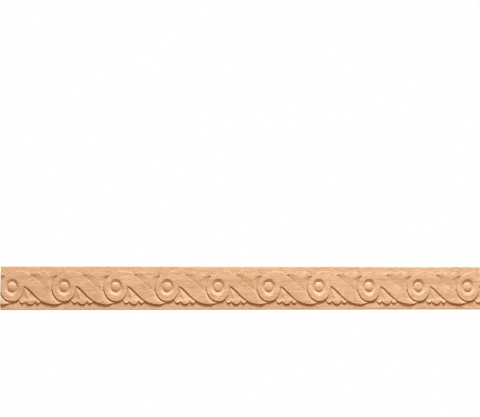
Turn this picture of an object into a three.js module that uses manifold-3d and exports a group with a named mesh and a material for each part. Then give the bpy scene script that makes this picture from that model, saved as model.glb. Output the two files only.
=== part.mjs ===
// A strip of carved wooden trim: a running scroll with an eye in each turn, and a leaf above and
// below every ribbon, standing in low relief on a thin flat board with a plain margin on each side.
// Millimetres, +Z up. The strip lies along X, its back is the plane Y = 0 and its carving faces -Y.
import * as THREE from 'three';
import { mergeVertices } from 'three/addons/utils/BufferGeometryUtils.js';
import Module from 'manifold-3d';

const wasm = await Module();
wasm.setup();

// The board
const stripLength = 559;
const stripWidth = 50;
const boardThickness = 2.5; // at the plain margins
const marginWidth = 6;

// The carving
const repeatLength = 59; // from one eye to the next
const firstEyeOffset = 13; // from the left end to the first eye
const reliefHeight = 1.5; // of scroll and ribbon above the margins
const leafHeight = 1.25; // of the leaves' rims and ridges above the margins
const hollowDepth = 1; // of the gouge cuts in a leaf, below its rim
const tailDip = 1.2; // how far a ribbon sinks where it passes under the next scroll
const edgeBevel = 0.3; // worn edge of scroll and ribbon
const eyeDepth = 1.5; // of the ring round each button
const buttonRise = 1.35; // of the button above the bottom of that ring
const hiddenOverlap = 0.6; // how far a form starts inside the one that carries it

const fieldHeight = stripWidth - 2 * marginWidth;
const scrollLevel = boardThickness + reliefHeight;
const leafLevel = boardThickness + leafHeight;
const eyeFloor = scrollLevel - eyeDepth;

// How finely the round stretches are cut into flats
const scrollFlats = 28;
const eyeFlats = 20;
const ribbonFlats = 13;
const scallopFlats = 4;
const tailFlats = 7;

// A point of the carving, counted from the eye of its own repeat: a share of the repeat along the
// strip and a share of the carved field across it.
function at(alongShare, acrossShare) {
  return new THREE.Vector2(alongShare * repeatLength, acrossShare * fieldHeight);
}

// The three ovals of a scroll, each with its half sizes
const scroll = { centre: at(0.003, 0.015), half: at(0.233, 0.417) };
const eyeRing = { centre: at(0.001, 0.029), half: at(0.139, 0.258) };
const button = { centre: at(0, 0.04), half: at(0.088, 0.148) };

// Their sections: a share of the half size, then a share of the depth or rise
const ringSection = [[0.6, 1], [0.84, 0.44], [1, 0]];
const buttonSection = [[1, 0.3], [0.84, 0.56], [0.42, 1]];

// The bend in a gouge cut's hollow section: a share of its width, then a share of its depth
const gougeBend = [0.35, 0.7];

// The ribbon leaves the top of its scroll and ends in a tail under the next one
const ribbonUpperEdge = new THREE.SplineCurve([
  at(-0.09, 0.375), at(-0.02, 0.45), at(0.05, 0.495), at(0.139, 0.508), at(0.266, 0.482),
  at(0.359, 0.401), at(0.503, 0.204), at(0.586, 0.085), at(0.671, 0.002), at(0.735, -0.044),
  at(0.82, -0.06),
]);
const ribbonLowerEdge = new THREE.SplineCurve([
  at(0.217, 0.066), at(0.286, 0.021), at(0.373, -0.097), at(0.459, -0.239), at(0.54, -0.349),
  at(0.608, -0.409), at(0.69, -0.457), at(0.815, -0.489), at(0.9, -0.475), at(1.06, -0.41),
]);
const tailCentre = at(1, -0.3);

// The tail's slope: the turns of the next scroll that it covers, and how far out it starts and ends
const tailTurns = [0.92 * Math.PI, 1.72 * Math.PI];
const tailReach = [1.42, 0.92];

// Each leaf fills the wedge between a scroll and a ribbon. Its scalloped edge runs from the scroll
// to the ribbon by way of the notches, over a tip in every lobe. A ridge runs from the rim to the
// leaf's point, and a gouge cut falls away on each side of it, towards the scroll and the ribbon.
const lowerLeaf = {
  notches: [at(0.266, -0.401), at(0.448, -0.401)],
  tips: [at(0.19, -0.437), at(0.362, -0.482), at(0.518, -0.457)],
  ridge: [at(0.325, -0.353), at(0.298, -0.237), at(0.268, -0.126), at(0.241, -0.021)],
  scrollRim: [at(0.151, -0.379), at(0.195, -0.405), at(0.263, -0.368)],
  ribbonRim: [at(0.552, -0.405), at(0.505, -0.408), at(0.444, -0.366), at(0.383, -0.384)],
  scrollTurns: [-0.31 * Math.PI, 0.01 * Math.PI],
  ribbonSpan: [0.47, 0.04],
  ribbonEdge: ribbonLowerEdge,
  otherEdge: ribbonUpperEdge,
  ribbonShift: 0,
};
const upperLeaf = {
  notches: [at(-0.293, 0.458), at(-0.454, 0.455)],
  tips: [at(-0.207, 0.487), at(-0.385, 0.5), at(-0.548, 0.487)],
  ridge: [at(-0.331, 0.258), at(-0.315, 0.158), at(-0.298, 0.063), at(-0.276, -0.024)],
  scrollRim: [at(-0.15, 0.384), at(-0.207, 0.371), at(-0.271, 0.321)],
  ribbonRim: [at(-0.614, 0.403), at(-0.556, 0.429), at(-0.48, 0.416), at(-0.407, 0.358)],
  scrollTurns: [0.69 * Math.PI, 1.055 * Math.PI],
  ribbonSpan: [0.43, 0.9],
  ribbonEdge: ribbonUpperEdge,
  otherEdge: ribbonLowerEdge,
  ribbonShift: -1,
};

// Turns a closed geometry into a solid that can be joined and cut.
function solidOf(geometry) {
  geometry.deleteAttribute('normal');
  geometry.deleteAttribute('uv');
  const merged = mergeVertices(geometry, 1e-5);
  return new wasm.Manifold(new wasm.Mesh({
    numProp: 3,
    vertProperties: new Float32Array(merged.attributes.position.array),
    triVerts: new Uint32Array(merged.index.array),
  }));
}

function geometryOf(solid) {
  const mesh = solid.getMesh();
  const geometry = new THREE.BufferGeometry();
  geometry.setAttribute('position', new THREE.BufferAttribute(mesh.vertProperties, 3));
  geometry.setIndex(new THREE.BufferAttribute(mesh.triVerts, 1));
  const flatShaded = geometry.toNonIndexed();
  flatShaded.computeVertexNormals();
  return flatShaded;
}

function boxOf(height) {
  return solidOf(new THREE.BoxGeometry(stripLength, stripWidth, height).translate(0, 0, height / 2));
}

// An outline raised from inside the board to a level, with a bevel along its upper edge.
function raised(outline, level, bevel) {
  const start = boardThickness - hiddenOverlap;
  const geometry = new THREE.ExtrudeGeometry(new THREE.Shape(outline), {
    depth: level - start - bevel,
    bevelEnabled: bevel > 0,
    bevelThickness: bevel,
    bevelSize: bevel,
    bevelOffset: -bevel,
    bevelSegments: 1,
  });
  return solidOf(geometry.translate(0, 0, start));
}

// A closed skin over rings of points, each with the same count. Rings may run either way round:
// a skin that comes out facing inwards is turned.
function loftOf(rings) {
  const count = rings[0].length;
  const faces = [];
  for (let ring = 0; ring + 1 < rings.length; ring += 1) {
    for (let i = 0; i < count; i += 1) {
      const a = ring * count + i;
      const b = ring * count + (i + 1) % count;
      faces.push([a, b, b + count], [a, b + count, a + count]);
    }
  }
  const last = (rings.length - 1) * count;
  for (let i = 1; i + 1 < count; i += 1) {
    faces.push([0, i + 1, i], [last, last + i, last + i + 1]);
  }
  const geometry = new THREE.BufferGeometry().setFromPoints(rings.flat());
  const outward = solidOf(geometry.clone().setIndex(faces.flat()));
  if (outward.volume() > 0) {
    return outward;
  }
  return solidOf(geometry.setIndex(faces.map((face) => face.reverse()).flat()));
}

function ovalPoint(oval, reach, turn) {
  return new THREE.Vector2(
    oval.centre.x + oval.half.x * reach * Math.cos(turn),
    oval.centre.y + oval.half.y * reach * Math.sin(turn),
  );
}

function ovalRing(oval, reach, flats) {
  return Array.from({ length: flats }, (_, i) => ovalPoint(oval, reach, 2 * Math.PI * i / flats));
}

function lifted(points, level) {
  return points.map((point) => new THREE.Vector3(point.x, point.y, level));
}

// The count of shares from first to last, both included.
function shares(count) {
  return Array.from({ length: count }, (_, i) => i / (count - 1));
}

function ribbonSolid() {
  const outline = [
    ...ribbonLowerEdge.getSpacedPoints(ribbonFlats),
    tailCentre,
    ...ribbonUpperEdge.getSpacedPoints(ribbonFlats).reverse(),
    scroll.centre,
  ];
  const nextScroll = { centre: scroll.centre.clone().add(at(1, 0)), half: scroll.half };
  const slope = shares(tailFlats).map((share) => {
    const turn = THREE.MathUtils.lerp(tailTurns[0], tailTurns[1], share);
    const [outer, inner] = tailReach.map((reach) => ovalPoint(nextScroll, reach, turn));
    return [
      ...lifted([outer], scrollLevel),
      ...lifted([inner], scrollLevel - tailDip),
      ...lifted([inner, outer], scrollLevel + hiddenOverlap),
    ];
  });
  return raised(outline, scrollLevel, edgeBevel).subtract(loftOf(slope));
}

// The lines along which a leaf dips under its scroll and its ribbon, from the rim to its point.
function scrollLine(leaf, count) {
  const reach = 1 - hiddenOverlap / scroll.half.x;
  return shares(count).map((share) => (
    ovalPoint(scroll, reach, THREE.MathUtils.lerp(leaf.scrollTurns[0], leaf.scrollTurns[1], share))
  ));
}

function ribbonLine(leaf, count) {
  const shift = at(leaf.ribbonShift, 0);
  return shares(count).map((share) => {
    const along = THREE.MathUtils.lerp(leaf.ribbonSpan[0], leaf.ribbonSpan[1], share);
    const edge = leaf.ribbonEdge.getPointAt(along);
    const inward = leaf.otherEdge.getPointAt(along).sub(edge).setLength(hiddenOverlap);
    return edge.add(inward).add(shift);
  });
}

// A gouge cut starts level with the leaf at its rim and is deepest along the outer line.
function gougeCut(rim, outer) {
  return loftOf(rim.map((point, i) => [
    ...lifted([point], leafLevel),
    ...lifted([point.clone().lerp(outer[i], gougeBend[0])], leafLevel - gougeBend[1] * hollowDepth),
    ...lifted([outer[i]], leafLevel - hollowDepth),
    ...lifted([outer[i], point], leafLevel + hiddenOverlap),
  ]));
}

function leafSolid(leaf) {
  const scrollSide = [...leaf.scrollRim, ...leaf.ridge];
  const ribbonSide = [...leaf.ribbonRim, ...leaf.ridge];
  const underScroll = scrollLine(leaf, scrollSide.length);
  const underRibbon = ribbonLine(leaf, ribbonSide.length);
  const stops = [underScroll[0], ...leaf.notches, underRibbon[0]];
  const scallops = leaf.tips.flatMap((tip, lobe) => {
    const [from, to] = [stops[lobe], stops[lobe + 1]];
    const control = tip.clone().multiplyScalar(2).addScaledVector(from, -0.5).addScaledVector(to, -0.5);
    const edge = new THREE.QuadraticBezierCurve(from, control, to);
    return edge.getPoints(scallopFlats).slice(0, scallopFlats);
  });
  const outline = [...scallops, ...underRibbon, ...underScroll.slice(1).reverse()];
  return raised(outline, leafLevel, 0)
    .subtract(gougeCut(scrollSide, underScroll))
    .subtract(gougeCut(ribbonSide, underRibbon));
}

function ringCut() {
  const rings = ringSection.map(([reach, depth]) => (
    lifted(ovalRing(eyeRing, reach, eyeFlats), scrollLevel - depth * eyeDepth)
  ));
  return loftOf([...rings, lifted(ovalRing(eyeRing, 1, eyeFlats), scrollLevel + hiddenOverlap)]);
}

function buttonSolid() {
  const rings = buttonSection.map(([reach, rise]) => (
    lifted(ovalRing(button, reach, eyeFlats), eyeFloor + rise * buttonRise)
  ));
  return loftOf([lifted(ovalRing(button, 1, eyeFlats), eyeFloor - hiddenOverlap), ...rings]);
}

// The run of repeats, cut square at both ends and joined to the board
function stripSolid() {
  const raisedForms = ribbonSolid()
    .add(raised(ovalRing(scroll, 1, scrollFlats), scrollLevel, edgeBevel))
    .add(leafSolid(lowerLeaf))
    .add(leafSolid(upperLeaf));
  const cut = ringCut();
  const raisedButton = buttonSolid();
  const firstRepeat = -Math.floor(firstEyeOffset / repeatLength) - 1;
  const lastRepeat = Math.ceil((stripLength - firstEyeOffset) / repeatLength);
  const places = [];
  for (let repeat = firstRepeat; repeat <= lastRepeat; repeat += 1) {
    places.push([firstEyeOffset + repeat * repeatLength - stripLength / 2, 0, 0]);
  }
  let strip = boxOf(boardThickness);
  places.forEach((place) => {
    strip = strip.add(raisedForms.translate(place));
  });
  places.forEach((place) => {
    strip = strip.subtract(cut.translate(place)).add(raisedButton.translate(place));
  });
  return strip.intersect(boxOf(scrollLevel + hiddenOverlap));
}

const beech = new THREE.MeshStandardMaterial({ color: '#dfac85', roughness: 0.62, metalness: 0 });

const strip = new THREE.Mesh(geometryOf(stripSolid()), beech);
strip.name = 'carved_trim_strip';
strip.rotation.x = Math.PI / 2; // the carved side, built facing up, turns to face -Y

const trim = new THREE.Group();
trim.add(strip);

export default trim;
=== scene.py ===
import math

import bpy
import numpy as np
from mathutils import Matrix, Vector
from mathutils.geometry import delaunay_2d_cdt
from mathutils.kdtree import KDTree


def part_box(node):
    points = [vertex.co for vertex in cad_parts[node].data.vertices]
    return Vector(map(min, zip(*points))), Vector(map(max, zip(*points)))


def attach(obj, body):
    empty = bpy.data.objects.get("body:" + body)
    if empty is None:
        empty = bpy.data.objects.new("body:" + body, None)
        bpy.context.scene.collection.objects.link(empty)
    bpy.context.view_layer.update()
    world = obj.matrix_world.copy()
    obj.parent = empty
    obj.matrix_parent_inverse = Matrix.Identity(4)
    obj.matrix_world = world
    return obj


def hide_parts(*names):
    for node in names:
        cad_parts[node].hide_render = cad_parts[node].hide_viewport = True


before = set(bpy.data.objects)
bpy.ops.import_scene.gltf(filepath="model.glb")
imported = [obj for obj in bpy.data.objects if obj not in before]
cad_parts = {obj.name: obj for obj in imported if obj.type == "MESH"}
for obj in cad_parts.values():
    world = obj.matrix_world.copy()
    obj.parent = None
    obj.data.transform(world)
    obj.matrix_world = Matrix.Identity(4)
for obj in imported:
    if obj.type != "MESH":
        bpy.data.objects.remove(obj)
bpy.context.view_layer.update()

# Carved beech trim: a thin strip with a running scroll, button eyes and scalloped leaves.
# The carving is worked out in millimetres, x along the strip and z across it, and its height
# above the plain margins. The meshes are in metres.

mm = 0.001
node = "carved_trim_strip"
stripLow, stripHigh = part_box(node)

strip = {
    "repeat": 59.0,            # from one eye to the next
    "firstEye": 13.0,          # from the left end
    "margin": 6.0,             # plain border above and below the carving
    "board": 2.5,              # thickness at the margins
    "relief": 1.5,             # scroll and ribbon above the margins
    "arris": 0.3,              # worn long edges
    "sharpAngle": 35,          # degrees, past which an edge is shaded sharp
}
strip["width"] = (stripHigh.z - stripLow.z) / mm
strip["field"] = strip["width"] - 2 * strip["margin"]

carving = {
    "leafHeight": 1.25,        # rims of the leaves
    "leafRounding": 0.16,      # width of the rounding on a leaf's rim
    "leafUnder": 0.6,          # how far a leaf goes on under scroll and ribbon
    "notchDepth": 0.45,        # nick between two lobes
    "notchRun": 2.4,           # from the rim inwards
    "notchBack": 1.0,          # and outwards
    "notchWidth": 0.35,        # half its width at the inner end
    "notchFlare": 0.5,         # added to that at the rim
    "upperRounding": 0.16,     # width of the rounding on scroll and ribbon
    "lowerRounding": 0.42,     # and on the edges of theirs that look down
    "turnOver": 3.0,           # half the height over which a scroll's upper edge becomes its lower one
    "scrollCut": 0.35,         # the knife line at the foot of a scroll
    "upperCut": 0.6,           # share of it on the upper side
    "ribbonCut": 0.06,
    "leafCut": 0.08,
    "buttonCut": 0.3,
    "footWidth": 0.55,
    "tailDip": 1.35,           # ribbon sinks where it goes under the next scroll
    "tailRun": 6.0,
}

# The dish round a button and the button in it
eye = {
    "depth": 1.35,
    "floorReach": 0.6,         # where the dish begins to rise, as a share of its own size
    "dishBend": 1.1,
    "buttonRise": 0.95,        # of the button's crown above its own edge
    "buttonEdge": 0.33,        # of that edge above the bottom of the dish
    "buttonRounding": 0.05,    # share of the button
    "buttonBend": 2.5,         # the higher, the flatter its crown
}

# Painted shade at the foot of a wall, standing in for the shadow and crease shade there, by its strength
# and how far it reaches
paintedFootShade = {
    "scroll": (1.0, 0.8),
    "ribbon": (0.2, 0.55),
    "leaf": (0.3, 0.5),
    "button": (1.0, 0.8),
    "upperShare": 0.3,         # of its strength, on the upper side of a scroll
}

tile = {
    "outlineStep": 0.35,       # between points of the outlines that heights are measured from
    "scrollWallPoints": 30,    # along a leaf's hidden side under the scroll
    "ribbonWallPoints": 40,
    "lobePoints": 20,
    "lineStep": 0.7,           # between points along a carved line
    "edgeOffsets": (-0.55, -0.27, -0.03, 0.06, 0.16, 0.32, 0.65),    # from a form's foot, inwards
    "ringShares": (1.0, 0.97, 0.9, 0.8, 0.7, 0.62),
    "buttonShares": (1.0, 0.97, 0.9, 0.78, 0.62, 0.42, 0.2),
    "hiddenRun": 0.25,         # how far a line goes on under a form that covers it
    "fieldStep": 1.35,         # between loose points of the plain surfaces
    "fieldReach": 1.6,         # past the carved field, to where the margins' wider net begins
    "leafStep": 0.85,
    "marginStep": 3.0,
    "clear": 0.42,             # loose points keep this far from the lines
}


def at(along, across):
    # a point by its shares of the repeat and of the carved field, from the eye of its repeat
    return np.array((along * strip["repeat"], across * strip["field"]))


# Ovals, the lean being how far they shift along the strip for the height above their centre
scroll = {"centre": at(-0.001, 0.015), "half": at(0.228, 0.417), "lean": -0.025}
eyeRing = {"centre": at(0, 0.029), "half": at(0.137, 0.258), "lean": 0}
button = {"centre": at(0, 0.04), "half": at(0.088, 0.148), "lean": 0}

ribbon = {
    "upper": [at(-0.09, 0.375), at(-0.02, 0.45), at(0.05, 0.495), at(0.139, 0.508), at(0.266, 0.482),
              at(0.359, 0.401), at(0.503, 0.204), at(0.586, 0.085), at(0.671, 0.002), at(0.735, -0.044),
              at(0.82, -0.06)],
    "lower": [at(0.217, 0.066), at(0.286, 0.021), at(0.373, -0.097), at(0.459, -0.239), at(0.54, -0.349),
              at(0.608, -0.409), at(0.69, -0.457), at(0.815, -0.489), at(0.9, -0.475), at(1.06, -0.41)],
    "tailCentre": at(1.0, -0.3),
}

leaves = {
    "lower": {
        "notches": [at(0.266, -0.401), at(0.448, -0.401)],
        "tips": [at(0.19, -0.437), at(0.362, -0.482), at(0.518, -0.457)],
        "ridge": [at(0.325, -0.353), at(0.298, -0.237), at(0.268, -0.126), at(0.241, -0.021)],
        "scrollRim": [at(0.151, -0.41), at(0.195, -0.43), at(0.263, -0.39)],
        "ribbonRim": [at(0.552, -0.405), at(0.505, -0.408), at(0.444, -0.366), at(0.383, -0.384)],
        "scrollTurns": (-0.31 * math.pi, 0.01 * math.pi),
        "ribbonSpan": (0.47, 0.04),
        "ribbonEdge": "lower",
        "ribbonShift": 0,
        "ridgeFall": 0.1,              # the ridge sinks by this much towards the leaf's point
        # the gouge cuts beside the scroll and beside the ribbon
        "hollowDepths": (1.2, 0.95),   # below the rim, where they meet a wall
        "ridgeSlope": 1.5,             # steepness by the ridge, the rim's being 1
        "bends": (0.5, 0.85),          # below 1 a cut is flat by the wall, above 1 steep
        "lifts": (0.7, 0.0),           # share of its depth that a cut loses towards the point
    },
    "upper": {
        "notches": [at(-0.293, 0.458), at(-0.454, 0.455)],
        "tips": [at(-0.19, 0.495), at(-0.385, 0.5), at(-0.548, 0.487)],
        "ridge": [at(-0.331, 0.258), at(-0.315, 0.158), at(-0.298, 0.063), at(-0.276, -0.024)],
        "scrollRim": [at(-0.138, 0.384), at(-0.205, 0.371), at(-0.271, 0.321)],
        "ribbonRim": [at(-0.614, 0.403), at(-0.556, 0.429), at(-0.48, 0.416), at(-0.407, 0.358)],
        "scrollTurns": (0.69 * math.pi, 1.055 * math.pi),
        "ribbonSpan": (0.43, 0.9),
        "ribbonEdge": "upper",
        "ribbonShift": -1,
        "ridgeFall": 0.5,
        "hollowDepths": (1.15, 0.85),
        "ridgeSlope": 0.5,
        "bends": (0.8, 1.1),
        "lifts": (0.0, 0.35),
    },
}

# Short deep cuts: beside the upper leaf's last lobe, and where its point meets the ribbon
knife = {
    "lines": [
        [at(-0.22, 0.516), at(-0.186, 0.497), at(-0.163, 0.463), at(-0.153, 0.421), at(-0.149, 0.387)],
        [at(-0.322, 0.0), at(-0.288, -0.034), at(-0.254, -0.05)],
    ],
    "depth": 0.5,
    "halfWidth": 0.4,
}


# Lines and distances

def evenLine(points, step):
    # the same line with points at even distances
    points = np.asarray(points, float)
    lengths = np.concatenate(([0.0], np.cumsum(np.linalg.norm(np.diff(points, axis=0), axis=1))))
    count = max(2, int(round(lengths[-1] / step)) + 1)
    places = np.linspace(0, lengths[-1], count)
    return np.column_stack([np.interp(places, lengths, points[:, i]) for i in (0, 1)])


def smoothLine(points, step=0.1, spanPoints=24):
    # a curve through the points, its slope at each taken from the neighbours on both sides
    ends = [points[0]] + list(points) + [points[-1]]
    share = np.linspace(0, 1, spanPoints, endpoint=False)[:, None]
    runs = []
    for before, start, end, after in zip(ends, ends[1:], ends[2:], ends[3:]):
        leave, arrive = (end - before) / 2, (after - start) / 2
        runs.append((2 * start - 2 * end + leave + arrive) * share ** 3
                    + (3 * end - 3 * start - 2 * leave - arrive) * share ** 2 + leave * share + start)
    return evenLine(np.concatenate(runs + [points[-1][None]]), step)


def linePoint(line, share):
    return line[int(round(share * (len(line) - 1)))]


def ovalPoints(oval, reach, turns):
    x, z = oval["half"][0] * reach * np.cos(turns), oval["half"][1] * reach * np.sin(turns)
    return oval["centre"] + np.column_stack((x + oval["lean"] * z, z))


def ovalLine(oval, reach, step, ringPoints=400):
    return evenLine(ovalPoints(oval, reach, np.linspace(0, 2 * math.pi, ringPoints)), step)


def offsetLine(line, distance):
    # shifted to the left of its own direction
    run = np.gradient(line, axis=0)
    if np.allclose(line[0], line[-1]):
        run[0] = run[-1] = line[1] - line[-2]
    normal = np.column_stack((-run[:, 1], run[:, 0])) / np.linalg.norm(run, axis=1)[:, None]
    return line + normal * distance


def distanceTo(points, line):
    start, run = line[:-1], np.diff(line, axis=0)
    best = np.full(len(points), np.inf)
    for a, r in zip(start, run):
        rel = points - a
        share = np.clip(rel @ r / (r @ r), 0, 1)
        best = np.minimum(best, np.linalg.norm(rel - share[:, None] * r, axis=1))
    return best


def insideOf(points, outline):
    inside = np.zeros(len(points), bool)
    x, z = points.T
    for (x0, z0), (x1, z1) in zip(outline, np.roll(outline, -1, axis=0)):
        if z0 != z1:
            crosses = ((z0 > z) != (z1 > z)) & (x < (x1 - x0) * (z - z0) / (z1 - z0) + x0)
            inside ^= crosses
    return inside


def signedDistance(points, outline, edges):
    # positive inside the outline, measured to the edges that show
    distance = np.min([distanceTo(points, edge) for edge in edges], axis=0)
    return np.where(insideOf(points, outline), distance, -distance)


# The outlines of one repeat

def scrollForm():
    outline = ovalLine(scroll, 1, tile["outlineStep"])
    return {"outline": outline, "edges": [outline]}


def ribbonForm():
    upper, lower = smoothLine(ribbon["upper"]), smoothLine(ribbon["lower"])
    outline = np.concatenate((lower, [ribbon["tailCentre"]], upper[::-1], [scroll["centre"]]))
    tailEnd = np.array([lower[-1], ribbon["tailCentre"]])
    step = tile["outlineStep"]
    return {
        "outline": evenLine(outline, step),
        "edges": [evenLine(upper, step), evenLine(lower, step), tailEnd],
        "upper": upper,
        "lower": lower,
    }


def leafForm(leaf):
    # a leaf's rim, creases and hollows, with its hidden sides under scroll and ribbon
    under = carving["leafUnder"]
    turns = np.linspace(*leaf["scrollTurns"], tile["scrollWallPoints"])
    underScroll = ovalPoints(scroll, 1 - under / scroll["half"][0], turns)
    edge = smoothLine(ribbon[leaf["ribbonEdge"]])
    other = smoothLine(ribbon["upper" if leaf["ribbonEdge"] == "lower" else "lower"])
    underRibbon = []
    for share in np.linspace(*leaf["ribbonSpan"], tile["ribbonWallPoints"]):
        start, across = linePoint(edge, share), linePoint(other, share) - linePoint(edge, share)
        underRibbon.append(start + under * across / np.linalg.norm(across) + at(leaf["ribbonShift"], 0))
    underRibbon = np.array(underRibbon)
    stops = [underScroll[0], *leaf["notches"], underRibbon[0]]
    share = np.linspace(0, 1, tile["lobePoints"])[:, None]
    scallops = []
    for tip, start, end in zip(leaf["tips"], stops, stops[1:]):
        pull = 2 * tip - (start + end) / 2
        lobe = start * (1 - share) ** 2 + 2 * pull * share * (1 - share) + end * share ** 2
        scallops.append(lobe)
    rim = np.concatenate(scallops)
    ridge = np.array(leaf["ridge"])
    scrollRim = smoothLine([*leaf["scrollRim"], ridge[0]])
    ribbonRim = smoothLine([*leaf["ribbonRim"], ridge[0]])
    crest = smoothLine(list(ridge))
    hollows = [
        np.concatenate((scrollRim, crest, underScroll[::-1])),
        np.concatenate((ribbonRim, crest, underRibbon[::-1])),
    ]
    return {
        "outline": np.concatenate((rim, underRibbon, underScroll[::-1])),
        "edges": [evenLine(lobe, tile["outlineStep"]) for lobe in scallops],
        "lobes": scallops,
        "creases": [scrollRim, ribbonRim, crest],
        "hollows": hollows,
        "walls": [underScroll, underRibbon],
        "notches": leaf["notches"],
        "middle": ridge[0],
        "point": ridge[-1],
        "ridgeFall": leaf["ridgeFall"],
        "ridgeSlope": leaf["ridgeSlope"],
        "cuts": list(zip(leaf["hollowDepths"], leaf["bends"], leaf["lifts"])),
    }


forms = {
    "scroll": scrollForm(),
    "ribbon": ribbonForm(),
    "leaves": [leafForm(leaf) for leaf in leaves.values()],
    "knifeLines": [smoothLine(line, tile["outlineStep"]) for line in knife["lines"]],
}


# The height of the carving

def rounded(depth, width):
    # from 0 at an edge to 1 behind its rounding
    return 1 - (1 - np.clip(depth / width, 0, 1)) ** 3


def footCut(outside, depth):
    # the knife line just outside a form
    return depth * np.clip(1 - outside / carving["footWidth"], 0, 1)


# painted shade beside a wall, fading with the distance from it
def paintedShadeBeside(outside, name):
    strength, reach = paintedFootShade[name]
    return strength * np.exp(-outside / reach)


def lessAbove(upperShare, low):
    # the whole on a scroll's lower side, a share on its upper one
    return upperShare + (1 - upperShare) * low


def leafHeight(points, form):
    # how far inside the leaf a point is, and the leaf's height there
    depth = signedDistance(points, form["outline"], form["edges"])
    top = np.full(len(points), carving["leafHeight"])
    spine = form["point"] - form["middle"]
    towardsPoint = np.clip((points - form["middle"]) @ spine / (spine @ spine), 0, 1)
    ridgeCut = form["ridgeFall"] * towardsPoint
    for hollow, rim, wall, (deepest, bend, lift) in zip(
            form["hollows"], form["creases"], form["walls"], form["cuts"]):
        fromRidge = distanceTo(points, form["creases"][2]) * form["ridgeSlope"]
        away = np.minimum(distanceTo(points, rim), fromRidge)
        toWall = np.maximum(distanceTo(points, wall) - carving["leafUnder"], 0)
        share = (away / (away + toWall + 1e-6)) ** bend
        wallCut = np.maximum(deepest * (1 - lift * towardsPoint), ridgeCut)
        cut = wallCut * share + ridgeCut * (1 - share)
        top = np.where(insideOf(points, hollow), carving["leafHeight"] - cut, top)
    for notch in form["notches"]:
        inward = (form["middle"] - notch) / np.linalg.norm(form["middle"] - notch)
        rel = points - notch
        along = rel @ inward
        beside = np.abs(rel @ np.array((-inward[1], inward[0])))
        fade = np.clip(1 - along / carving["notchRun"], 0, 1) * (along > -carving["notchBack"])
        halfWidth = carving["notchWidth"] + carving["notchFlare"] * fade
        top -= carving["notchDepth"] * fade * np.clip(1 - beside / halfWidth, 0, 1)
    return depth, top * rounded(depth, carving["leafRounding"])


def ovalShare(points, oval):
    # 0 at the centre of an upright oval and 1 on it
    return np.linalg.norm((points - oval["centre"]) / oval["half"], axis=1)


def eyeHeight(points):
    # dish and button as height from the scroll's face, and the distance from the button
    ring, dome = ovalShare(points, eyeRing), ovalShare(points, button)
    rise = np.clip((ring - eye["floorReach"]) / (1 - eye["floorReach"]), 0, 1)
    dish = -eye["depth"] * (1 - rise ** eye["dishBend"])
    fromButton = (dome - 1) * button["half"].mean()
    dish = dish - footCut(np.maximum(fromButton, 0), carving["buttonCut"])
    edge = eye["buttonEdge"] * rounded(1 - dome, eye["buttonRounding"])
    crown = eye["buttonRise"] * (1 - np.clip(dome, 0, 1) ** eye["buttonBend"])
    return np.where(dome < 1, np.maximum(dish, edge + crown - eye["depth"]), dish), fromButton


def carvedHeight(points):
    # height above the margins, and the painted shade at the foot of walls, round the buttons and in the
    # knife lines
    height = np.zeros(len(points))
    paintedShade = np.zeros(len(points))
    for repeat in (-1, 0, 1):
        local = points - at(repeat, 0)
        for form in forms["leaves"]:
            depth, rise = leafHeight(local, form)
            outside = np.where(depth < 0, -depth, np.inf)
            height -= footCut(outside, carving["leafCut"])
            height = np.maximum(height, np.where(depth > 0, rise, -np.inf))
            # painted shade at the foot of a leaf's rim
            paintedShade = np.maximum(paintedShade, paintedShadeBeside(outside, "leaf"))
    for repeat in (-1, 0, 1):
        local = points - at(repeat, 0)
        onScroll = signedDistance(local, forms["scroll"]["outline"], forms["scroll"]["edges"])
        onRibbon = signedDistance(local, forms["ribbon"]["outline"], forms["ribbon"]["edges"])
        nextScroll = signedDistance(local - at(1, 0), forms["scroll"]["outline"], forms["scroll"]["edges"])
        sink = np.clip(1 + nextScroll / carving["tailRun"], 0, 1)
        ribbonTop = strip["relief"] - carving["tailDip"] * sink ** 2
        eyeDrop, fromButton = eyeHeight(local)
        offScroll, offRibbon = (np.where(on < 0, -on, np.inf) for on in (onScroll, onRibbon))
        aboveMiddle = local[:, 1] - scroll["centre"][1]
        low = np.interp(aboveMiddle, (-carving["turnOver"], carving["turnOver"]), (1, 0))
        cut = np.maximum(footCut(offScroll, carving["scrollCut"]) * lessAbove(carving["upperCut"], low),
                         footCut(offRibbon, carving["ribbonCut"]))
        narrow, wide = carving["upperRounding"], carving["lowerRounding"]
        scrollRounding = narrow + low * (wide - narrow)
        fromUpper, fromLower = (distanceTo(local, edge) for edge in forms["ribbon"]["edges"][:2])
        ribbonRounding = np.where(fromLower < fromUpper, wide, narrow)
        rise = np.maximum(
            np.where(onRibbon > 0, ribbonTop * rounded(onRibbon, ribbonRounding), -np.inf),
            np.where(onScroll > 0, strip["relief"] * rounded(onScroll, scrollRounding), -np.inf))
        inEye = ovalShare(local, eyeRing) < 1
        rise = np.where(inEye, strip["relief"] + eyeDrop, rise)
        height = np.maximum(height - cut, rise)
        # painted shade beside scroll and ribbon, stronger below a scroll where its shadow falls and weaker
        # on its upper side
        paintedShade = np.maximum(paintedShade, paintedShadeBeside(offScroll, "scroll") * lessAbove(paintedFootShade["upperShare"], low))
        paintedShade = np.maximum(paintedShade, paintedShadeBeside(offRibbon, "ribbon"))
        paintedShade = np.where(rise > -np.inf, 0, paintedShade)
        # painted shade in the dish round the button, darkening its sides
        paintedShade = np.where(inEye & (fromButton > 0), paintedShadeBeside(fromButton, "button"), paintedShade)
    for repeat in (-1, 0, 1):
        for line in forms["knifeLines"]:
            nearness = np.clip(1 - distanceTo(points - at(repeat, 0), line) / knife["halfWidth"], 0, 1)
            height -= knife["depth"] * nearness
            # painted shade in the knife lines
            paintedShade = np.maximum(paintedShade, nearness)
    return height, paintedShade


# One repeat as a mesh

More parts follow.
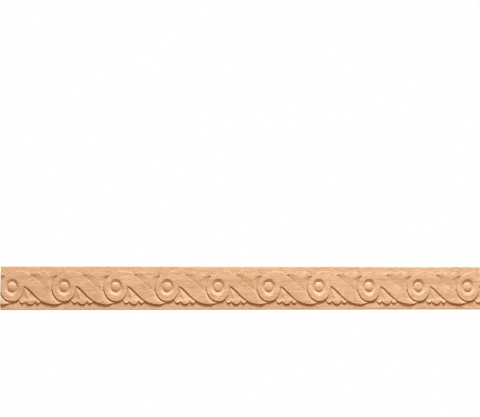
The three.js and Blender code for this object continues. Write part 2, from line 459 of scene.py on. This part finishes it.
def keptRuns(line, covers):
    # the stretches of a line that no covering form hides
    shown = np.ones(len(line), bool)
    for outline, shift in covers:
        local = line - at(shift, 0)
        shown &= ~(insideOf(local, outline) & (distanceTo(local, outline) > tile["hiddenRun"]))
    runs = np.split(line, np.flatnonzero(np.diff(shown.astype(int))) + 1)
    starts = np.cumsum([0] + [len(run) for run in runs[:-1]])
    return [run for run, start in zip(runs, starts) if shown[start] and len(run) > 1]


def tileLines():
    # the lines that the mesh follows: each edge with its foot and rounding, creases and rings
    step = tile["lineStep"]
    scrollOutline, ribbonOutline = forms["scroll"]["outline"], forms["ribbon"]["outline"]
    lines = []
    ring = ovalLine(scroll, 1, step)
    for offset in tile["edgeOffsets"]:
        lines += keptRuns(offsetLine(ring, offset), [(ribbonOutline, 0)])
    for side, edge in ((1, "lower"), (-1, "upper")):
        line = evenLine(forms["ribbon"][edge], step)
        for offset in tile["edgeOffsets"]:
            lines += keptRuns(offsetLine(line, side * offset), [(scrollOutline, 0), (scrollOutline, 1)])
    over = [(scrollOutline, 0), (scrollOutline, -1), (ribbonOutline, 0), (ribbonOutline, -1)]
    for form in forms["leaves"]:
        for lobe in form["lobes"]:
            line = evenLine(lobe, step)
            for offset in tile["edgeOffsets"]:
                lines += keptRuns(offsetLine(line, offset), over)
        for crease in form["creases"]:
            lines += keptRuns(evenLine(crease, step), over)
    for line in forms["knifeLines"]:
        for side in (-1, 0, 1):
            lines.append(offsetLine(line, side * knife["halfWidth"]))
    for share in tile["ringShares"]:
        lines.append(ovalLine(eyeRing, share, step))
    for share in tile["buttonShares"]:
        lines.append(ovalLine(button, share, step))
    return lines


def clippedToTile(line):
    # the stretches of a line between the tile's two ends, cut on them at levels that both share
    half = strip["repeat"] / 2
    runs, run = [], []
    for start, end in zip(line, line[1:]):
        if abs(start[0]) < half:
            run.append(start)
        for side in (-half, half):
            if (start[0] - side) * (end[0] - side) < 0:
                share = (side - start[0]) / (end[0] - start[0])
                run.append(np.array((side, round(start[1] + share * (end[1] - start[1]), 4))))
        if abs(end[0]) >= half and run:
            runs.append(run)
            run = []
    if run:
        runs.append(run + [line[-1]])
    return [np.array(run) for run in runs if len(run) > 1]


def loosePoints(lines):
    # a triangular net of points over the plain surfaces, clear of the carved lines
    half, top = strip["repeat"] / 2, strip["width"] / 2
    tree = KDTree(sum(len(line) for line in lines))
    for index, point in enumerate(point for line in lines for point in line):
        tree.insert((point[0], point[1], 0), index)
    tree.balance()
    points = []
    for region in ("field", "leaf", "margin"):
        step = tile[region + "Step"]
        rows = int(2 * top / (step * math.sqrt(3) / 2))
        net = np.array([
            (x + (row % 2) * step / 2, -top + (row + 0.5) * 2 * top / rows)
            for row in range(rows)
            for x in np.arange(-half + step / 2, half - step / 4, step)
        ])
        onLeaf = np.zeros(len(net), bool)
        for repeat in (-1, 0, 1):
            for form in forms["leaves"]:
                onLeaf |= insideOf(net - at(repeat, 0), form["outline"])
        inField = np.abs(net[:, 1]) < strip["field"] / 2 + tile["fieldReach"]
        wanted = {"field": inField & ~onLeaf, "leaf": onLeaf, "margin": ~inField}[region]
        inTile = np.abs(net[:, 0]) < half - tile["clear"]
        for point in net[wanted & inTile]:
            if tree.find((point[0], point[1], 0))[2] > tile["clear"]:
                points.append(point)
    return points


def tileMesh():
    # the lines and the loose points as triangles, each point lifted to its height
    half, top = strip["repeat"] / 2, strip["width"] / 2
    lines = []
    for line in tileLines():
        for repeat in (-1, 0, 1):
            lines += clippedToTile(line + at(repeat, 0))
    onBorder = {float(point[1]) for line in lines for point in line
                if abs(abs(point[0]) - half) < 1e-9}
    levels = [level for level in np.linspace(-top, top, int(2 * top / tile["fieldStep"]) + 1)
              if min(abs(level - other) for other in onBorder) > tile["clear"]]
    levels = sorted({*onBorder, *levels, -top, top})
    across = np.linspace(-half, half, int(2 * half / tile["marginStep"]) + 1)
    frameLines = [np.array([(side, level) for level in levels]) for side in (-half, half)]
    frameLines += [np.array([(x, level) for x in across]) for level in (-top, top)]
    points, edges = [], []
    for line in lines + frameLines:
        edges += [(len(points) + i, len(points) + i + 1) for i in range(len(line) - 1)]
        points += [Vector(point) for point in line]
    points += [Vector(point) for point in loosePoints(lines + frameLines)]
    flat, _, faces, *_ = delaunay_2d_cdt(points, edges, [], 0, 1e-5, False)
    flat = np.array([tuple(point) for point in flat])
    height, paintedShade = carvedHeight(flat)
    vertices = np.column_stack((flat[:, 0], -(strip["board"] + height), flat[:, 1])) * mm
    return vertices, faces, paintedShade


def carvedTile():
    vertices, faces, paintedShade = tileMesh()
    mesh = bpy.data.meshes.new("carvedTile")
    mesh.from_pydata(vertices.tolist(), [], [tuple(face) for face in faces])
    # the painted shade is kept as a point attribute
    mesh.attributes.new("paintedShade", "FLOAT", "POINT").data.foreach_set("value", paintedShade.astype(np.float32))
    piece = bpy.data.objects.new("carvedTile", mesh)
    bpy.context.scene.collection.objects.link(piece)
    return piece


# The whole strip

def selectOnly(piece):
    bpy.ops.object.select_all(action="DESELECT")
    piece.select_set(True)
    bpy.context.view_layer.objects.active = piece


def selectVertices(piece, wanted):
    # in edit mode, the vertices whose place meets the wish, and the edges between them
    bpy.ops.mesh.select_all(action="DESELECT")
    bpy.ops.object.mode_set(mode="OBJECT")
    mesh = piece.data
    places = np.empty(len(mesh.vertices) * 3)
    mesh.vertices.foreach_get("co", places)
    chosen = wanted(places.reshape(-1, 3))
    ends = np.empty(len(mesh.edges) * 2, int)
    mesh.edges.foreach_get("vertices", ends)
    mesh.vertices.foreach_set("select", chosen)
    mesh.edges.foreach_set("select", chosen[ends.reshape(-1, 2)].all(axis=1))
    bpy.ops.object.mode_set(mode="EDIT")


def joinedTiles(piece):
    # copies of the repeat side by side, past both ends of the strip
    firstEye = stripLow.x + strip["firstEye"] * mm
    count = math.ceil((stripHigh.x - firstEye) / (strip["repeat"] * mm) + 0.5)
    selectOnly(piece)
    bpy.ops.transform.translate(value=(firstEye - strip["repeat"] * mm, 0, 0))
    tiles = [piece]
    for _ in range(count):
        bpy.ops.object.duplicate()
        bpy.ops.transform.translate(value=(strip["repeat"] * mm, 0, 0))
        tiles.append(bpy.context.active_object)
    for other in tiles:
        other.select_set(True)
    bpy.context.view_layer.objects.active = piece
    bpy.ops.object.join()
    bpy.ops.object.transform_apply(location=True, rotation=False, scale=False)


def carvedStrip():
    # the carved face cut to length, then drawn back to a flat back and closed
    piece = carvedTile()
    print("scene: one repeat carved,", len(piece.data.polygons), "triangles")
    joinedTiles(piece)
    piece.name = piece.data.name = "carved_strip"
    near = 0.001 * mm
    bpy.ops.object.mode_set(mode="EDIT")
    bpy.ops.mesh.select_mode(type="EDGE")
    bpy.ops.mesh.select_all(action="SELECT")
    bpy.ops.mesh.remove_doubles(threshold=near)
    for end, outward in ((stripLow.x, (-1, 0, 0)), (stripHigh.x, (1, 0, 0))):
        bpy.ops.mesh.select_all(action="SELECT")
        bpy.ops.mesh.bisect(plane_co=(end, 0, 0), plane_no=outward, threshold=near, clear_outer=True)
    bpy.ops.mesh.select_all(action="DESELECT")
    bpy.ops.mesh.select_non_manifold(use_wire=False, use_multi_face=False, use_non_contiguous=False,
                                     use_verts=False)
    bpy.ops.mesh.extrude_edges_move()
    bpy.ops.transform.resize(value=(1, 0, 1), center_override=(0, 0, 0))
    bpy.ops.mesh.edge_face_add()
    front = -strip["board"] * mm
    selectVertices(piece, lambda place: (np.abs(place[:, 1] - front) < near)
                   & (np.abs(place[:, 2]) > stripHigh.z - near))
    bpy.ops.mesh.bevel(offset=strip["arris"] * mm, segments=2, affect="EDGES")
    bpy.ops.mesh.select_all(action="SELECT")
    bpy.ops.mesh.normals_make_consistent(inside=False)
    bpy.ops.object.mode_set(mode="OBJECT")
    bpy.ops.object.shade_smooth_by_angle(angle=math.radians(strip["sharpAngle"]))
    return piece


piece = carvedStrip()
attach(piece, "root")
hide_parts(node)
print("scene: strip joined, cut and closed,", len(piece.data.polygons), "faces")


# Wood

beech = {
    "pale": (0.86, 0.55, 0.355),
    "middle": (0.74, 0.415, 0.24),
    "dark": (0.55, 0.27, 0.128),
    "fleck": (0.50, 0.235, 0.10),
    "cut": (0.30, 0.125, 0.05),       # painted shade at the foot of walls, round the buttons and in the knife lines
    "endGrain": (0.52, 0.34, 0.24),
    "bandShare": 0.35,                # of the broad bands in the tone, the rest being fine streaks
    "evenness": 0.1,                  # how much of the middle tone lies over them
    "fleckTint": 0.5,
    "seamTint": 0.55,
    "poreTint": 0.3,
    "fibreTint": 0.12,
    "leftTint": 0.2,                  # darker towards the left end
    "paintedShadeTint": 0.25,
    "endTint": 0.75,
    "endDepth": 0.1,                  # millimetres
    "roughness": 0.6,
    "fibreRoughness": 0.15,
    "fleckGloss": 0.08,
    "refraction": 1.42,
    "bumpHeight": 0.06,               # millimetres, and what follows are shares of it
    "fibreRise": 0.25,
    "streakRise": 0.45,
    "poreDepth": 0.3,
    "fleckDepth": 0.35,
    "seamDepth": 0.4,
    "swayBy": 2.4,                    # millimetres, how far the grain wanders
}

# Sizes of the grain's patterns in millimetres: along the strip, through it and across it
grainSizes = {
    "sway": (70, 30, 30),
    "bands": (160, 9, 7),
    "streaks": (8, 0.6, 0.5),
    "fibres": (5, 0.28, 0.28),
    "flecks": (5.5, 1.2, 1.1),
    "pores": (1.4, 0.13, 0.13),
    "seams": (13, 0.7, 0.55),
}


class Socket:
    # a node's output that can be added to, multiplied and so on, as a number can
    def __init__(self, finish, output):
        self.finish, self.output = finish, output

    def __add__(self, other):
        return self.finish.maths("ADD", self, other)

    def __sub__(self, other):
        return self.finish.maths("SUBTRACT", self, other)

    def __rsub__(self, other):
        return self.finish.maths("SUBTRACT", other, self)

    def __mul__(self, other):
        return self.finish.maths("MULTIPLY", self, other)

    def __pow__(self, other):
        return self.finish.maths("POWER", self, other)

    __radd__ = __add__
    __rmul__ = __mul__


class Finish:
    # a material and the nodes made for it
    def __init__(self, name):
        self.material = bpy.data.materials.new(name)
        self.material.use_nodes = True
        self.tree = self.material.node_tree
        self.shader = self.tree.nodes["Principled BSDF"]

    def node(self, kind, settings, sockets, output=0):
        made = self.tree.nodes.new(kind)
        for name, value in settings.items():
            setattr(made, name, value)
        for name, value in sockets.items():
            self.feed(made.inputs[name], value)
        return Socket(self, made.outputs[output])

    def feed(self, socket, value):
        if isinstance(value, Socket):
            self.tree.links.new(value.output, socket)
        else:
            socket.default_value = value

    def maths(self, operation, *values):
        return self.node("ShaderNodeMath", {"operation": operation}, dict(enumerate(values)))

    def between(self, value, low, high):
        # 0 at low and 1 at high, smoothly
        return self.node("ShaderNodeMapRange", {"interpolation_type": "SMOOTHSTEP"},
                         {"Value": value, "From Min": low, "From Max": high})

    def mixed(self, share, first, second):
        colours = [value if isinstance(value, Socket) else (*value, 1) for value in (first, second)]
        return self.node("ShaderNodeMix", {"data_type": "RGBA"},
                         {0: share, 6: colours[0], 7: colours[1]}, output=2)

    def stretched(self, place, sizes):
        # the place in steps of a pattern's own size, given in millimetres
        scale = tuple(1 / (size * mm) for size in sizes)
        return self.node("ShaderNodeVectorMath", {"operation": "MULTIPLY"}, {0: place, 1: scale})

    def noise(self, place, sizes, detail=2):
        return self.node("ShaderNodeTexNoise", {}, {"Vector": self.stretched(place, sizes), "Scale": 1,
                                                    "Detail": detail, "Roughness": 0.55})


def beechFinish():
    finish = Finish("beech")
    place = finish.node("ShaderNodeTexCoord", {}, {}, output="Object")
    along = finish.node("ShaderNodeSeparateXYZ", {}, {"Vector": place}, output="X")
    sway = finish.noise(place, grainSizes["sway"], 1) * beech["swayBy"] * mm
    offset = finish.node("ShaderNodeCombineXYZ", {}, {"Y": sway, "Z": sway})
    grain = finish.node("ShaderNodeVectorMath", {"operation": "ADD"}, {0: place, 1: offset})

    bands = finish.between(finish.noise(grain, grainSizes["bands"]), 0.32, 0.68)
    streaks = finish.between(finish.noise(grain, grainSizes["streaks"]), 0.38, 0.62)
    fibres = finish.noise(grain, grainSizes["fibres"], 3)
    cells = {"Vector": finish.stretched(grain, grainSizes["flecks"]), "Scale": 1, "Randomness": 1}
    spindle = finish.node("ShaderNodeTexVoronoi", {}, cells, output="Distance")
    chance = finish.node("ShaderNodeTexVoronoi", {}, cells, output="Color")
    flecks = finish.between(spindle, 0.4, 0.15) * finish.between(chance, 0.4, 0.55)
    pores = finish.between(finish.noise(grain, grainSizes["pores"], 1), 0.62, 0.72)
    seams = finish.between(finish.noise(grain, grainSizes["seams"]), 0.55, 0.68)

    tone = bands * beech["bandShare"] + streaks * (1 - beech["bandShare"])
    colour = finish.mixed(tone, beech["dark"], beech["pale"])
    colour = finish.mixed(beech["evenness"], colour, beech["middle"])
    colour = finish.mixed(flecks * beech["fleckTint"] + seams * beech["seamTint"], colour, beech["fleck"])
    colour = finish.mixed(pores * beech["poreTint"] + fibres * beech["fibreTint"], colour, beech["fleck"])
    leftwards = 1 - finish.between(along, stripLow.x, stripHigh.x)
    colour = finish.mixed(leftwards * beech["leftTint"], colour, beech["dark"])

    # painted shade at the foot of walls, round the buttons and in the knife lines
    paintedShade = finish.node("ShaderNodeAttribute", {"attribute_name": "paintedShade"}, {}, output="Fac")
    colour = finish.mixed((paintedShade ** 1.5) * beech["paintedShadeTint"], colour, beech["cut"])
    endStart = stripHigh.x - beech["endDepth"] * mm
    sawnEnd = finish.between(finish.maths("ABSOLUTE", along), endStart, stripHigh.x)
    colour = finish.mixed(sawnEnd * beech["endTint"], colour, beech["endGrain"])

    roughness = beech["roughness"] + fibres * beech["fibreRoughness"] - flecks * beech["fleckGloss"]
    relief = fibres * beech["fibreRise"] + streaks * beech["streakRise"] - pores * beech["poreDepth"]
    relief = relief - flecks * beech["fleckDepth"] - seams * beech["seamDepth"]
    bump = finish.node("ShaderNodeBump", {}, {"Strength": 1.0, "Distance": beech["bumpHeight"] * mm,
                                              "Height": relief})
    finish.feed(finish.shader.inputs["Base Color"], colour)
    finish.feed(finish.shader.inputs["Roughness"], roughness)
    finish.feed(finish.shader.inputs["Normal"], bump)
    finish.shader.inputs["IOR"].default_value = beech["refraction"]
    return finish.material


piece.data.materials.clear()
piece.data.materials.append(beechFinish())
print("scene: beech finish made")


# Room, light and camera

room = {
    "floorLevel": -1.2,
    "floorWidth": 2.6,
    "floorColour": (0.86, 0.83, 0.78),
    "floorClouds": (400, 400, 400),    # size of the paler patches, in millimetres
    "cloudTint": 0.1,
    "floorRoughness": 0.9,
    "background": (1.0, 1.0, 1.0),
    "skyColour": (1.0, 0.56, 0.28),
    "skyLight": 0.31,
    "keyPlace": (0.14, -0.62, 1.48),
    "keyPower": 67,               # watts
    "keyWidth": 0.45,             # for the softness of the shadows
    "keyColour": (0.77, 0.93, 1.0),
    "backPlace": (-0.9, 1.6, 1.0),
    "backPower": 60,
    "backWidth": 1.2,
    "backColour": (1.0, 0.97, 0.93),
}
camera = {
    "lens": 85,
    "place": (-0.1096, -1.3181, 0.0),
    "turn": -4.55,                # degrees, to the right
    "tilt": 4.02,                 # upwards
}


def plainFloor():
    bpy.ops.object.select_all(action="DESELECT")
    bpy.ops.mesh.primitive_plane_add(size=room["floorWidth"], location=(0, 0, room["floorLevel"]))
    floor = bpy.context.active_object
    floor.name = "floor"
    finish = Finish("plainFloor")
    place = finish.node("ShaderNodeTexCoord", {}, {}, output="Object")
    cloud = finish.noise(place, room["floorClouds"]) * room["cloudTint"]
    finish.feed(finish.shader.inputs["Base Color"],
                finish.mixed(cloud, room["floorColour"], room["background"]))
    finish.shader.inputs["Roughness"].default_value = room["floorRoughness"]
    floor.data.materials.append(finish.material)


def softLamp(name):
    # a disc of light that faces the middle of the strip
    light = bpy.data.lights.new(name + "Light", "AREA")
    light.shape, light.size = "DISK", room[name + "Width"]
    light.energy, light.color = room[name + "Power"], room[name + "Colour"]
    lamp = bpy.data.objects.new(name + "Light", light)
    lamp.location = room[name + "Place"]
    lamp.rotation_euler = Vector(room[name + "Place"]).to_track_quat("Z", "Y").to_euler()
    lamp.visible_camera = False
    bpy.context.scene.collection.objects.link(lamp)


def paleSky():
    # white where the camera sees it, dimmer and warmer as a light
    world = bpy.data.worlds.new("paleSky")
    world.use_nodes = True
    nodes, links = world.node_tree.nodes, world.node_tree.links
    path = nodes.new("ShaderNodeLightPath")
    colour = nodes.new("ShaderNodeMix")
    colour.data_type = "RGBA"
    fill = [room["skyLight"] * channel for channel in room["skyColour"]]
    colour.inputs[6].default_value = (*fill, 1)
    colour.inputs[7].default_value = (*room["background"], 1)
    links.new(path.outputs["Is Camera Ray"], colour.inputs[0])
    links.new(colour.outputs[2], nodes["Background"].inputs["Color"])
    bpy.context.scene.world = world


def photoCamera():
    lens = bpy.data.cameras.new("camera")
    lens.lens = camera["lens"]
    view = bpy.data.objects.new("camera", lens)
    view.location = camera["place"]
    view.rotation_euler = (math.radians(90 + camera["tilt"]), 0, math.radians(camera["turn"]))
    bpy.context.scene.collection.objects.link(view)
    bpy.context.scene.camera = view


plainFloor()
softLamp("key")
softLamp("back")
paleSky()
photoCamera()
bpy.context.scene.view_settings.view_transform = "Standard"
print("scene: floor, lights and camera placed")
